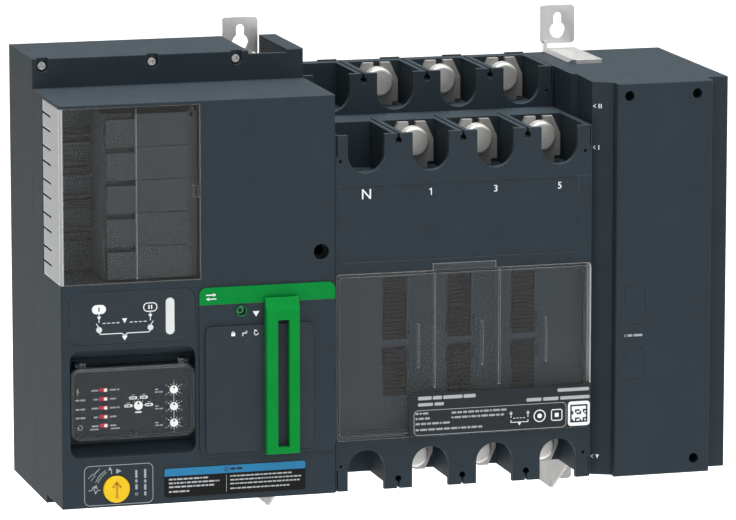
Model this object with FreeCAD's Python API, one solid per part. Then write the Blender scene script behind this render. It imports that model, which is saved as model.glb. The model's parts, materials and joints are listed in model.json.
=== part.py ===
import FreeCAD
import Part
import math
import os

# Automatic transfer switch, three poles in a four-bay housing, wall mounted. All sizes in millimetres.
# Model frame: origin at the centre of the four fixing holes, on the mounting plane; +Z up, front at -Y.
# Pieces are placed by x from the left side, depth from the mounting plane, and z from the bottom.

# ---- driving dimensions -------------------------------------------------------------------------
FIX_X = (161.6, 390.4)          # fixing holes, left and right
FIX_Z = (-17.0, 295.0)          # fixing holes, lower and upper
ORIGIN_X = sum(FIX_X) / 2
ORIGIN_Z = sum(FIX_Z) / 2

WALL = 3.0
PITCH = 45.0                    # pole pitch
BAY_X = [208.8 + PITCH * i for i in range(4)]       # neutral bay (left empty), then poles 1, 3 and 5
POLE_X = BAY_X[1:]
BARRIER_X = [x + PITCH / 2 for x in BAY_X[:3]]

EDGE_R = 0.8                    # rounding of the housings' outer front edges
MECH = (0.0, 187.0)             # mechanism module, left to right
POLES = (187.5, 366.5)          # pole unit
END = (367.0, 465.5)            # end housing
TOP = 270.0
REAR_TOP = 290.0                # the mechanism's rear case stands higher
REAR_BOTTOM = -6.0
REAR_DEPTH = 74.0
LIP_DEPTH = 105.0
MECH_FRONT = 155.0
POLE_FRONT = 153.5
ROW_STEP = 86.5                 # front terminal row stands this far in front of the rear one
REAR_ROW = POLE_FRONT - ROW_STEP
FRONT_ROW_TOP = 242.0
SHROUD_SEAM = 208.0             # joint between the front source shroud and the front housing

NOTCH_R = 12.8                  # round-bottomed opening of each terminal bay
SOURCE_2_Z = 257.3              # centre of that round, rear source row
SOURCE_1_Z = 229.0              # front source row
LOAD_Z = 15.0                   # load row
FRONT_WALL = 4.0
POCKET_W = 37.0                 # bay behind its front wall
POCKET_DEPTH = 56.5
PLATE_DEPTH = 45.5              # from a row's front face back to its terminal plates
PLATE_T = 4.0
PLATE_W = 30.0

DOOR = ((0.0, 95.0), (103.0, 155.0), (150.4, 267.6))
DOOR_T = 2.0
DOOR_PIN = (3.0, 106.5)
DOOR_SLITS = [(z, z + 1.4) for pair in range(5) for z in (258.6 - 22.4 * pair, 248.5 - 22.4 * pair)]
SLIT_END = 129.0                # depth where the slits end
DOOR_RIB_X = (51.7, 52.3)
MODULES = ((33.0, 87.4), (112.0, 149.4), (151.6, 262.1))
NOTCH_END_X = 52.0              # each blanking cover has a finger notch from its left side to here
NOTCH_H = 3.4
MIMIC = ((5.0, 91.0), (110.0, 145.5))
RECESS = ((5.5, 91.0), (33.0, 107.0))
RECESS_FLOOR = 141.0
PANEL = ((6.6, 90.0), (45.6, 94.0))
PANEL_FRONT = 150.4
HMI_COVER = ((6.6, 90.0), (150.8, 155.8), (46.0, 93.6))
HMI_PIN = (149.0, 95.6)
DIALS = [(77.0, z) for z in (76.3, 65.0, 53.8)]
SELECTOR = (52.8, 66.8)
DIP_BASE_X = (26.6, 32.4)
DIP_SLIDER_X = (29.6, 31.6)     # slides 2.4 to the left
DIP_Z = [54.4 + 6.0 * i for i in range(5)]
LIGHT_BAR = ((70.6, 76.8), (114.5, 139.4))
LAMPS = [(25.6, 120.0), (60.3, 120.0)]
KNOB = (36.3, 12.1)
KNOB_R = 9.0
NOTICE = ((69.0, 166.0), (4.2, 23.8))
FASCIA = ((93.5, 186.7), (30.5, 144.6))
FASCIA_FRONT = 156.2
BAND_Z = 133.1                  # lower edge of the coloured band at the top of the fascia
SLIDER = ((97.4, 170.7), (33.0, 118.2))
SLIDER_FRONT = 157.6
SLIDER_GUIDE = ((138.2, 169.6), (60.0, 92.0))
HANDLE = ((137.5, 160.4), (30.8, 136.4))
HANDLE_FRONT = 163.4
HANDLE_SLOT = ((145.2, 153.2), (35.2, 121.8))
RELEASE = (121.9, 128.1)
RELEASE_WELL = 5.5
TOOL = (177.4, 164.9)
TOOL_R = 5.4
STRIP_SCREWS = [(7.0, 284.6), (82.4, 284.6), (140.5, 284.6)]

COVER = ((187.9, 366.1), (35.2, 148.4))
WINDOWS_Z = ((62.0, 96.5), (100.5, 143.5))
WINDOW_BANDS_Z = ((84.2, 93.3), (104.0, 115.5))     # wider stretch of each window
VENT_PITCH = 2.8
VENT_PLATE_H = 2.4
SHAFT = (62.8, 112.0)           # transfer shaft: depth and height
ARM_LENGTH = 60.0
WORM_R = 6.3
SPINDLE_R = 4.34
SPINDLE = (42.0, 146.0)         # depth of the tool spindle, rear end to front end
END_FRONT = 146.0
END_RIDGE = ((369.0, 381.9), 152.4)     # sloped strip beside the end cover: across, and its front edge
END_COVER = ((382.2, 450.0), (0.0, 270.0))
END_COVER_FRONT = 160.0
END_SCREWS = [(391.0, 261.5), (439.0, 261.5), (439.0, 10.0)]

BRACKET_W = 24.8
BRACKET_T = 2.0
BRACKET_H = 27.0
LABEL = ((237.9, 365.9), (35.4, 65.0))
X = FreeCAD.Vector(1, 0, 0)
BACK = FreeCAD.Vector(0, 1, 0)
UP = FreeCAD.Vector(0, 0, 1)


# ---- building blocks ----------------------------------------------------------------------------
def at(x, depth, z):
    return FreeCAD.Vector(x - ORIGIN_X, -depth, z - ORIGIN_Z)


def block(x, depth, z):
    return Part.makeBox(x[1] - x[0], depth[1] - depth[0], z[1] - z[0], at(x[0], depth[1], z[0]))


def round_edges(shape, radius, axis, wanted=lambda middle: True):
    """Round the straight edges that run along axis and whose middle is wanted."""
    edges = []
    for edge in shape.Edges:
        if edge.Curve.TypeId != "Part::GeomLine":
            continue
        run = edge.Vertexes[-1].Point - edge.Vertexes[0].Point
        middle = (edge.Vertexes[-1].Point + edge.Vertexes[0].Point) / 2
        if abs(run.normalize().dot(axis)) > 0.999 and wanted(middle):
            edges.append(edge)
    return shape.makeFillet(radius, edges)


def soften_front(shape, radius):
    """Round the edges around the foremost face."""
    front = shape.BoundBox.YMin
    edges = [e for e in shape.Edges if all(abs(v.Y - front) < 0.01 for v in e.Vertexes)]
    return shape.makeFillet(radius, edges)


def slab(x, depth, z, radius):
    """A block with the four edges that run front to back rounded."""
    return round_edges(block(x, depth, z), radius, BACK)


def rod(centre, depth, radius):
    """A round bar from front to back; centre is (x, z)."""
    return Part.makeCylinder(radius, depth[1] - depth[0], at(centre[0], depth[1], centre[1]), BACK)


def bar(x, centre, radius):
    """A round bar from left to right; centre is (depth, z)."""
    return Part.makeCylinder(radius, x[1] - x[0], at(x[0], *centre), X)


def post(centre, z, radius):
    """An upright round bar; centre is (x, depth)."""
    return Part.makeCylinder(radius, z[1] - z[0], at(*centre, z[0]), UP)


def profile_x(points, x):
    """Extrude a closed outline of (depth, z) points from x[0] to x[1]."""
    corners = [at(x[0], depth, z) for depth, z in points]
    return Part.Face(Part.makePolygon(corners + corners[:1])).extrude(X * (x[1] - x[0]))


def profile_up(points, z):
    """Extrude a closed outline of (x, depth) points from z[0] up to z[1]."""
    corners = [at(x, depth, z[0]) for x, depth in points]
    return Part.Face(Part.makePolygon(corners + corners[:1])).extrude(UP * (z[1] - z[0]))


def profile_front(points, depth):
    """Extrude a closed outline of (x, z) points from depth[1] back to depth[0]."""
    corners = [at(x, depth[1], z) for x, z in points]
    return Part.Face(Part.makePolygon(corners + corners[:1])).extrude(BACK * (depth[1] - depth[0]))


def hexagon(centre, depth, across):
    radius = across / math.sqrt(3)
    turns = [math.radians(60 * i) for i in range(6)]
    corners = [(centre[0] + radius * math.cos(a), centre[1] + radius * math.sin(a)) for a in turns]
    return profile_front(corners, depth)


def grow(span, by):
    return (span[0] - by, span[1] + by)


def fuse(shapes):
    return shapes[0].multiFuse(shapes[1:]).removeSplitter() if len(shapes) > 1 else shapes[0]


def cut(shape, tools):
    return shape.cut(tools)


def group(shapes):
    return Part.makeCompound(shapes)


# ---- mechanism module: casings ------------------------------------------------------------------
BRACKET_NOTCH = ((148.8, 175.4), (-1.0, 71.0), (TOP, REAR_TOP + 1))


def mechanism_rear_case():
    case = fuse([
        soften_front(block(MECH, (0, REAR_DEPTH), (REAR_BOTTOM, REAR_TOP)), EDGE_R),
        block(MECH, (REAR_DEPTH - 2, LIP_DEPTH), (REAR_BOTTOM, -0.05)),
    ])
    inside = (MECH[0] + WALL, MECH[1] - WALL)
    lower = block(inside, (WALL, REAR_DEPTH + 1), (REAR_BOTTOM + WALL, TOP - WALL))
    upper = block((inside[0], BRACKET_NOTCH[0][0] - WALL), (WALL, REAR_DEPTH - 8),
                  (TOP - WALL - 1, REAR_TOP - WALL))
    x, depth, z = BRACKET_NOTCH
    lip = block(x, (70, REAR_DEPTH + 1), (REAR_TOP - 2.4, REAR_TOP + 1))
    recesses = []
    for centre in STRIP_SCREWS:
        mouth = (REAR_DEPTH - 5, REAR_DEPTH + 1)
        recesses.append(rod(centre, mouth, 3.9))
        recesses.append(block(grow((centre[0], centre[0]), 3.9), mouth, (centre[1], REAR_TOP + 1)))
        recesses.append(rod(centre, (REAR_DEPTH - 9, REAR_DEPTH), 1.55))
    shaft_way = bar((MECH[1] - WALL - 1, MECH[1] + 1), SHAFT, 10.0)
    case = cut(case, [lower, upper, block(x, depth, z), lip, shaft_way] + recesses)
    bearing = cut(rod(TOOL, (WALL - 1, SPINDLE[0] + 3), SPINDLE_R + 3),
                  [rod(TOOL, (SPINDLE[0] - 1, 60), SPINDLE_R + 0.06)])
    return fuse([case, bearing])


def socket_screw(centre, front, head_r, head_h, shank_r, length):
    """Socket-head screw that goes in from the front; front is the depth of the head's outer face."""
    head = rod(centre, (front - head_h, front), head_r)
    shank = rod(centre, (front - head_h - length, front - head_h), shank_r)
    screw = fuse([head, shank])
    return cut(screw, [hexagon(centre, (front - head_h * 0.6, front + 1), head_r)])


def rear_case_screws():
    seat = REAR_DEPTH - 5
    return group([socket_screw(c, seat + 2.6, 2.7, 2.6, 1.5, 7.0) for c in STRIP_SCREWS])


def recess_solid(spread=0.0, floor=RECESS_FLOOR):
    """The controller recess: rounded corners, upper and lower walls that slope in to the floor."""
    x, z = grow(RECESS[0], spread), grow(RECESS[1], spread)
    mouth = MECH_FRONT + 1
    outline = slab(x, (floor, mouth), z, 8.0 + spread)
    slope = profile_x([(mouth, z[1]), (floor, z[1] - 9), (floor, z[0] + 8), (mouth, z[0])], grow(x, 1))
    return outline.common(slope)


def mechanism_front_case():
    shell = cut(soften_front(block(MECH, (REAR_DEPTH, MECH_FRONT), (0, TOP)), EDGE_R),
                [block(grow(MECH, -WALL), (REAR_DEPTH - 1, MECH_FRONT - WALL), (WALL, TOP - WALL))])
    bay = ((-1.0, DOOR[0][1] + 0.4), (DOOR[1][0] - 0.4, MECH_FRONT + 1), (DOOR[2][0] - 0.4, DOOR[2][1] + 0.4))
    tub = block((MECH[0] + EDGE_R, bay[0][1] + 2), (bay[1][0] - 2.2, MECH_FRONT),
                (bay[2][0] - 2.5, TOP - EDGE_R))
    inner = (REAR_DEPTH, MECH_FRONT)
    recess_tub = recess_solid(2.0, RECESS_FLOOR - 2).common(block(MECH, inner, (0, TOP)))
    socket_boss = rod(TOOL, (118, MECH_FRONT), TOOL_R + 3)
    knob_boss = rod(KNOB, (138, MECH_FRONT), KNOB_R + 2.5).common(block(MECH, inner, (WALL, TOP)))
    posts = [rod((x, z), (REAR_DEPTH, MECH_FRONT - 1), 4.0) for x in (181.0,) for z in (20.0, 250.0)]
    case = fuse([shell, tub, recess_tub, socket_boss, knob_boss] + posts)
    mimic_seat = slab(MIMIC[0], (MECH_FRONT - 1.6, MECH_FRONT + 1), MIMIC[1], 8)
    lamp_window = block((20, 80), (MECH_FRONT - 4, MECH_FRONT), (113, 141))
    holes = [
        block(*bay), recess_solid(), mimic_seat, lamp_window,
        rod(TOOL, (SPINDLE[1], MECH_FRONT + 1), TOOL_R),
        rod(TOOL, (117, MECH_FRONT), SPINDLE_R + 0.06),
        rod(KNOB, (141, MECH_FRONT + 1), KNOB_R + 0.3),
        rod(KNOB, (137, MECH_FRONT + 1), 3.05),
        block(SLIDER_GUIDE[0], (MECH_FRONT - 4, MECH_FRONT + 1), SLIDER_GUIDE[1]),
        rod(RELEASE, (MECH_FRONT - 4, MECH_FRONT + 1), 4.1),
    ]
    hinge_bores = [post(DOOR_PIN, (DOOR[2][0] - 3.4, DOOR[2][0]), 1.30),
                   post(DOOR_PIN, (DOOR[2][1], DOOR[2][1] + 1.9), 1.30)]
    return cut(case, holes + hinge_bores)


def module_door():
    """Clear door that wraps the front and the left side; slits for wires run in from its rear edge."""
    x, depth, z = DOOR
    heel = block((x[0], x[0] + DOOR_T), (depth[0], DOOR_PIN[1] + 1), z).common(post(DOOR_PIN, z, 3.3))
    door = fuse([
        block(x, (depth[1] - DOOR_T, depth[1]), z),
        block((x[0], x[0] + DOOR_T), (DOOR_PIN[1], depth[1]), z),
        heel,
        post(DOOR_PIN, (z[0], z[0] + 3), 3.0),
        post(DOOR_PIN, (z[1] - 3, z[1]), 3.0),
        post(DOOR_PIN, (z[0] - 2.6, z[0] + 1), 1.25),
        post(DOOR_PIN, (z[1] - 1, z[1] + 1.6), 1.25),
        block((x[1] - 4, x[1]), (depth[1] - 8, depth[1] - DOOR_T), (205, 213)),
        block(DOOR_RIB_X, (depth[1] - DOOR_T - 1, depth[1] - 1), grow(z, -2)),
        rod((89.5, 264.6), (depth[1] - DOOR_T - 2, depth[1] - 1), 1.1),
    ])
    door = round_edges(door, 1.5, UP, lambda m: m.y < -depth[1] + 0.1 and m.x < at(1, 0, 0).x)
    side = ((x[0] - 1, x[0] + DOOR_T + 1), (depth[0] - 1, SLIT_END))
    return cut(door, [block(*side, slit) for slit in DOOR_SLITS])


def module_rack():
    """Ribbed carrier behind the function modules; the ribs guide their wires."""
    x, depth, z = MODULES
    back = block((x[0] - 26, x[1] + 6), (103.0, 106.0), (z[0], z[1]))
    step = (z[1] - z[0]) / 5
    rib_z = [z[0] + step * i + offset for i in range(1, 5) for offset in (-2.0, 3.0, 6.5)]
    ribs = [block((x[0] - 24, x[0] - 1), (106.0, 111.0), grow((middle, middle), 0.5)) for middle in rib_z]
    spine = block((x[0] - 1.6, x[0] - 0.3), (106.0, 144.0), z)
    rail = block((x[1] + 0.4, x[1] + 7.2), (106.0, 146.6), z)
    latch = block((x[1] + 2, x[1] + 4.5), (140, 147), (z[1] - 4, z[1] - 1))
    return cut(fuse([back, spine, rail] + ribs), [latch])


def module_blanks():
    """Five plug-in blanking covers, each an open-backed box with a finger notch at the left of its top."""
    x, depth, z = MODULES
    step = (z[1] - z[0]) / 5
    blanks = []
    for i in range(5):
        low, high = z[0] + step * i + 0.25, z[0] + step * (i + 1) - 0.25
        hollow = block(grow(x, -1.6), (depth[0] - 1, depth[1] - 8), (low + 1.6, high - 1.6))
        notch = block((x[0] - 1, NOTCH_END_X), (depth[1] - 6, depth[1] + 1), (high - NOTCH_H, high + 1))
        blanks.append(cut(block(x, depth, (low, high)), [hollow, notch]))
    return group(blanks)


# ---- mechanism module: indication and controller ------------------------------------------------
def mimic_panel():
    panel = slab(grow(MIMIC[0], -0.35), (MECH_FRONT - 1.5, MECH_FRONT), grow(MIMIC[1], -0.35), 7.7)
    windows = [slab(LIGHT_BAR[0], (150, 156), LIGHT_BAR[1], 3.05)]
    windows += [rod(lamp, (150, 156), 2.1) for lamp in LAMPS]
    return cut(panel, windows)


def indicator_light_bar():
    x, z = LIGHT_BAR
    return slab(grow(x, -0.15), (MECH_FRONT - 3.6, MECH_FRONT + 0.2), grow(z, -0.15), 2.9)


def position_lamps():
    return group([rod(lamp, (MECH_FRONT - 3.6, MECH_FRONT + 0.3), 1.95) for lamp in LAMPS])


def controller_module():
    body = slab(PANEL[0], (RECESS_FLOOR, PANEL_FRONT), PANEL[1], 6.0)
    pockets = [rod(c, (PANEL_FRONT - 5, PANEL_FRONT + 1), 2.75) for c in DIALS]
    pockets.append(rod(SELECTOR, (PANEL_FRONT - 5, PANEL_FRONT + 1), 2.95))
    pocket = (grow(DIP_BASE_X, 0.2), (PANEL_FRONT - 4, PANEL_FRONT + 1))
    pockets += [block(*pocket, grow((z, z), 1.5)) for z in DIP_Z]
    pockets.append(block((46.0, 51.0), (PANEL_FRONT - 4, PANEL_FRONT + 1), (47.6, 50.6)))
    return cut(body, pockets)


def controller_cover():
    """Clear hinged cover over the settings; ears at its upper corners hold the hinge pins."""
    x, depth, z = HMI_COVER
    shell = slab(x, depth, z, 6.5)
    shell = cut(shell, [slab(grow(x, -1.6), (depth[0] - 1, depth[1] - 1.6), grow(z, -1.6), 5.0)])
    ears = []
    for side in ((x[0] + 7, x[0] + 10), (x[1] - 10, x[1] - 7)):
        ears.append(bar(side, HMI_PIN, 1.6))
        ears.append(block(side, (HMI_PIN[0], depth[1] - 1), (HMI_PIN[1] - 1.2, HMI_PIN[1] + 1.4)))
        ears.append(block(side, (depth[0], depth[1] - 1), (z[1] - 1.4, HMI_PIN[1])))
    pin = bar((x[0] + 4, x[0] + 10), HMI_PIN, 1.0)
    other = bar((x[1] - 10, x[1] - 4), HMI_PIN, 1.0)
    clip = block((46.4, 50.6), (PANEL_FRONT - 3, depth[1] - 1), (z[0] + 2.0, z[0] + 3.4))
    return fuse([shell, pin, other, clip] + ears)


def controller_hinge_blocks():
    """Two bearing blocks at the top of the recess that take the cover's pins."""
    x = HMI_COVER[0]
    blocks = []
    for side in ((x[0] + 3.6, x[0] + 6.4), (x[1] - 6.4, x[1] - 3.6)):
        body = block(side, (RECESS_FLOOR, HMI_PIN[0] + 2.2), (94.6, HMI_PIN[1] + 1.2))
        blocks.append(cut(body, [bar(grow(side, 1), HMI_PIN, 1.05)]))
    return group(blocks)


def dial(centre, radius):
    head = rod(centre, (PANEL_FRONT - 1.2, PANEL_FRONT + 0.5), radius)
    stem = rod(centre, (PANEL_FRONT - 4.7, PANEL_FRONT - 1.2), radius - 1.0)
    slot = block(grow((centre[0],) * 2, 0.45), (PANEL_FRONT - 0.4, PANEL_FRONT + 1),
                 grow((centre[1],) * 2, radius * 0.75))
    return cut(fuse([head, stem]), [slot])


def dip_bases():
    depth = (PANEL_FRONT - 3.9, PANEL_FRONT - 1.0)
    return group([block(DIP_BASE_X, depth, grow((z, z), 1.3)) for z in DIP_Z])


def dip_slider(z):
    return block(DIP_SLIDER_X, (PANEL_FRONT - 0.8, PANEL_FRONT + 0.3), grow((z, z), 0.95))


def test_knob():
    """Quarter-turn dielectric test switch, with a sunk arrow that points at its position."""
    body = rod(KNOB, (142.0, MECH_FRONT + 1.6), KNOB_R)
    body = body.makeChamfer(0.6, [e for e in body.Edges if e.Curve.TypeId == "Part::GeomCircle"
                                  and e.CenterOfMass.y < -MECH_FRONT])
    x, z = KNOB
    face = (MECH_FRONT + 0.9, MECH_FRONT + 3)
    arrow = fuse([block((x - 0.8, x + 0.8), face, (z - 6, z + 4)),
                  profile_front([(x - 3.4, z + 1.6), (x - 2.4, z + 0.8), (x, z + 3.6), (x + 2.4, z + 0.8),
                                 (x + 3.4, z + 1.6), (x, z + 6)], face)])
    return cut(fuse([body, rod(KNOB, (132.0, 142.5), 3.0)]), [arrow])


def notice_label():
    return slab(NOTICE[0], (MECH_FRONT, MECH_FRONT + 0.3), NOTICE[1], 1.6)


# ---- mechanism module: mode slider --------------------------------------------------------------
def fascia_parts():
    outline = slab(FASCIA[0], (MECH_FRONT, FASCIA_FRONT), FASCIA[1], 5.0)
    guide = block(SLIDER_GUIDE[0], (MECH_FRONT - 1, FASCIA_FRONT + 1), SLIDER_GUIDE[1])
    button = rod(RELEASE, (MECH_FRONT - 1, FASCIA_FRONT + 1), 4.1)
    tops = outline.common(block(FASCIA[0], (MECH_FRONT, FASCIA_FRONT), (BAND_Z, 200)))
    plate = cut(outline, [block(grow(FASCIA[0], 1), (150, 160), (BAND_Z, 200)), guide, button])
    return plate, tops


def mode_slider_panel():
    x, z = SLIDER
    panel = slab(x, (FASCIA_FRONT + 0.2, SLIDER_FRONT), z, 3.5)
    tongue = block((139.2, 152.0), (MECH_FRONT - 4, FASCIA_FRONT + 0.5), grow(SLIDER_GUIDE[1], -0.8))
    foot = block((133.0, 158.0), (MECH_FRONT - 5.8, MECH_FRONT - 3.8), grow(SLIDER_GUIDE[1], 4))
    return fuse([panel, tongue, foot])


def mode_handle():
    """Pull handle: a long looped grip whose top slopes back to the slider, with chamfered sides."""
    x, z = HANDLE
    outline = [(SLIDER_FRONT, z[0]), (HANDLE_FRONT - 1, z[0]), (HANDLE_FRONT, z[0] + 1),
               (HANDLE_FRONT, z[1] - 8.5), (HANDLE_FRONT - 4.2, z[1]), (SLIDER_FRONT, z[1])]
    grip = profile_x(outline, x)
    section = [(x[0], SLIDER_FRONT), (x[0], HANDLE_FRONT - 0.8), (x[0] + 0.8, HANDLE_FRONT),
               (x[1] - 0.8, HANDLE_FRONT), (x[1], HANDLE_FRONT - 0.8), (x[1], SLIDER_FRONT)]
    grip = grip.common(profile_up(section, z))
    slot = slab(HANDLE_SLOT[0], (SLIDER_FRONT - 1, HANDLE_FRONT + 1), HANDLE_SLOT[1], 0.8)
    return cut(grip, [slot])


def release_button():
    """Push button with a deep well and a raised ring on the well's floor; a collar keeps it in."""
    front = FASCIA_FRONT + 1.2
    floor = front - RELEASE_WELL
    barrel = fuse([rod(RELEASE, (MECH_FRONT - 5, front), 3.8),
                   rod(RELEASE, (MECH_FRONT - 6.2, MECH_FRONT - 4.2), 5.2)])
    ring = cut(rod(RELEASE, (floor - 0.5, floor + 1), 2.4), [rod(RELEASE, (floor, floor + 2), 1.5)])
    return fuse([cut(barrel, [rod(RELEASE, (floor, front + 1), 3.1)]), ring])


# ---- mechanism module: drive --------------------------------------------------------------------
def manual_spindle():
    """Hex-socket spindle for the hand tool, with the blank of its worm above the transfer shaft."""
    body = rod(TOOL, SPINDLE, SPINDLE_R)
    body = cut(body, [hexagon(TOOL, (SPINDLE[1] - 16, SPINDLE[1] + 1), 6.0)])
    return fuse([body, rod(TOOL, (SHAFT[0] - 14, SHAFT[0] + 14), WORM_R)])


def drive_coils():
    """Two solenoids that throw the mechanism, one for each source, each with its plunger above it."""
    coils = []
    for x in (40.0, 100.0):
        frame = block((x - 22, x + 22), (18, 62), (96, 160))
        frame = cut(frame, [block((x - 19, x + 19), (17, 63), (100, 156))])
        winding = post((x, 40), (102, 154), 17.5)
        coils.append(fuse([frame, winding, post((x, 40), (99, 157), 8)]))
        coils.append(post((x, 40), (160.4, 176), 6.5))
    return group(coils)


def mechanism_plates():
    """Two steel side plates that carry the mechanism's shafts."""
    bores = [bar((130, 190), SHAFT, 8.06)]
    plates = [cut(block((x, x + 3), (8, 72), (30, 230)), bores) for x in (134.0, 164.0)]
    return group(plates)


def control_board():
    board = block((10, 84), (124, 125.6), (40, 140))
    chips = [block((x, x + 12), (125.6, 129), (z, z + 12))
             for x, z in ((18, 50), (40, 52), (20, 80), (50, 90))]
    caps = [rod((66, z), (112, 124), 6) for z in (56, 76, 96)]
    return fuse([board] + chips + caps)


# ---- pole unit ----------------------------------------------------------------------------------
def terminal_shroud(front, centre_z, floor_z, open_z, back):
    """Comb of barriers around four terminal bays. Bays open at open_z, above or below floor_z."""
    side = 1 if open_z > floor_z else -1
    low, high = sorted((floor_z, open_z))
    pocket_back = front - POCKET_DEPTH
    beyond = open_z + side
    body = block(POLES, (back, front), (low, high))
    tools = []
    for x in BAY_X:
        span_z = sorted((centre_z, beyond))
        tools.append(rod((x, centre_z), (front - FRONT_WALL - 1, front + 1), NOTCH_R))
        tools.append(block(grow((x, x), NOTCH_R), (front - FRONT_WALL - 1, front + 1), span_z))
        pocket_z = sorted((floor_z + side * 2.5, beyond))
        tools.append(block(grow((x, x), POCKET_W / 2), (pocket_back, front - FRONT_WALL), pocket_z))
        tools.append(terminal_slot(x, front, floor_z, side))
    hole_z = open_z - side * (4.6 if side > 0 else 6.6)
    for x in BARRIER_X:
        groove = (max(back + 2, front - 70), front + 1)
        tools.append(rod((x, hole_z), groove, 2.3))
        tools.append(block(grow((x, x), 0.8), groove, sorted((hole_z, beyond))))
        behind = (groove[0], front - FRONT_WALL)
        tools.append(block(grow((x, x), 0.8), behind, sorted((open_z - side * 14, beyond))))
    end_hole_z = open_z - side * 17.2
    for x in (POLES[0] + 3.4, POLES[1] - 4.6):
        tools.append(rod((x, end_hole_z), (front - 8, front + 1), 1.25))
    for x in ((POLES[0] + 0.6, POLES[0] + 1.6), (POLES[1] - 1.4, POLES[1] - 0.6)):
        tools.append(block(x, (front - 20, front + 1), sorted((open_z - side * 14.4, beyond))))
    return cut(body, tools)


def terminal_slot(x, front, floor_z, side):
    """Slot in the bay's floor that the conductor passes through."""
    plate = front - PLATE_DEPTH
    span = sorted((floor_z - side, floor_z + side * 4))
    return block(grow((x, x), 11.2), (plate - PLATE_T - 0.4, plate + 0.4), span)


def source_2_shroud():
    tabs = [block((x - 14.5, x - 1.0), (0.0, 2.4), (TOP - 1, TOP + 0.9)) for x in BARRIER_X + [POLES[1]]]
    return fuse([terminal_shroud(REAR_ROW, SOURCE_2_Z, 238.0, TOP, 0.0)] + tabs)


def source_1_shroud():
    shroud = terminal_shroud(POLE_FRONT, SOURCE_1_Z, SHROUD_SEAM, FRONT_ROW_TOP, REAR_ROW + 0.05)
    return cut(shroud, [rod((x - 9, FRONT_ROW_TOP), (70, 74), 1.0) for x in BAY_X])


def load_shroud():
    return terminal_shroud(POLE_FRONT, LOAD_Z, 35.0, 0.3, REAR_ROW + 0.05)


def pole_rear_housing():
    body = block(POLES, (0, REAR_ROW), (0.3, 238.0))
    inside = block(grow(POLES, -WALL), (WALL, REAR_ROW + 1), (WALL, 238.0 - WALL))
    plate = REAR_ROW - PLATE_DEPTH
    slots = [block(grow((x, x), 11.2), (plate - PLATE_T - 0.4, plate + 0.4), (230, 239)) for x in POLE_X]
    shaft_ways = [bar((POLES[0] - 1, POLES[0] + WALL + 1), SHAFT, 10.0)]
    return cut(body, [inside] + slots + shaft_ways)


def pole_front_housing():
    """Front body with the shallow bay for the clear cover and three columns of arc vents."""
    z = (35.0, SHROUD_SEAM)
    body = block(POLES, (REAR_ROW + 0.05, POLE_FRONT), z)
    inside = block(grow(POLES, -WALL), (REAR_ROW - 1, POLE_FRONT - 16), (z[0] + WALL, z[1] - WALL))
    cover_bay = slab(grow(COVER[0], 0.2), (POLE_FRONT - 6, POLE_FRONT + 1), grow(COVER[1], 0.2), 3.0)
    well = slab((COVER[0][0] + 6, COVER[0][1] - 3), (POLE_FRONT - 9, POLE_FRONT),
                (COVER[1][0] + 4, COVER[1][1] - 4), 8)
    plate = POLE_FRONT - PLATE_DEPTH
    slots = []
    for x in POLE_X:
        for span in ((z[0] - 1, z[0] + 9), (z[1] - 9, z[1] + 1)):
            slots.append(block(grow((x, x), 11.2), (plate - PLATE_T - 0.4, plate + 0.4), span))
    vents = []
    for x in BARRIER_X:
        vents += [block((x - 8.4, x + 8.4), (POLE_FRONT - 14, POLE_FRONT), z) for z in WINDOWS_Z]
        vents += [block((x - 10.6, x + 10.6), (POLE_FRONT - 11, POLE_FRONT), z) for z in WINDOW_BANDS_Z]
    legend = block((192.0, 357.0), (POLE_FRONT - 0.4, POLE_FRONT + 1), (156.0, SHROUD_SEAM + 1))
    shaft_way = bar((POLES[0] - 1, POLES[0] + WALL + 1), SHAFT, 10.0)
    return cut(body, [inside, cover_bay, well, legend, shaft_way] + slots + vents)


def arc_vent_plates():
    """Stacks of steel plates behind the vents."""
    stacks = []
    for x in BARRIER_X:
        for low, high in WINDOWS_Z:
            count = int((high - low - 1) / VENT_PITCH)
            plates = [low + 1 + VENT_PITCH * i for i in range(count)]
            stacks += [block((x - 7.6, x + 7.6), (POLE_FRONT - 13.9, POLE_FRONT - 10), (z, z + VENT_PLATE_H))
                       for z in plates]
    return group(stacks)


def pole_cover():
    """Clear cover, a shallow tray with stiffening ribs, a pull tab at the top and hinge hooks below."""
    x, z = COVER
    depth = (POLE_FRONT - 5.6, POLE_FRONT + 2.0)
    tray = slab(x, depth, z, 2.6)
    tray = cut(tray, [slab(grow(x, -2.2), (depth[0] - 1, depth[1] - 2.0), grow(z, -2.2), 2.0)])
    tab = block((254.8, 298.9), (POLE_FRONT + 0.3, depth[1]), (z[1] - 1, 153.0))
    ribs = [block(grow((rib, rib), 0.5), (POLE_FRONT - 3, depth[1] - 1), (68, z[1] - 1))
            for rib in (256.6, 302.0)]
    short = [block(grow((rib, rib), 0.4), (POLE_FRONT - 3, depth[1] - 1), (82, 112))
             for rib in (245.3, 290.1, 335.0)]
    return fuse([tray, tab] + ribs + short)


def rating_label():
    depth = (POLE_FRONT + 2.0, POLE_FRONT + 2.3)
    return round_edges(block(LABEL[0], depth, LABEL[1]), 3.0, BACK,
                       lambda m: m.x < at(240, 0, 0).x and m.z > at(0, 0, 50).z)


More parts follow.
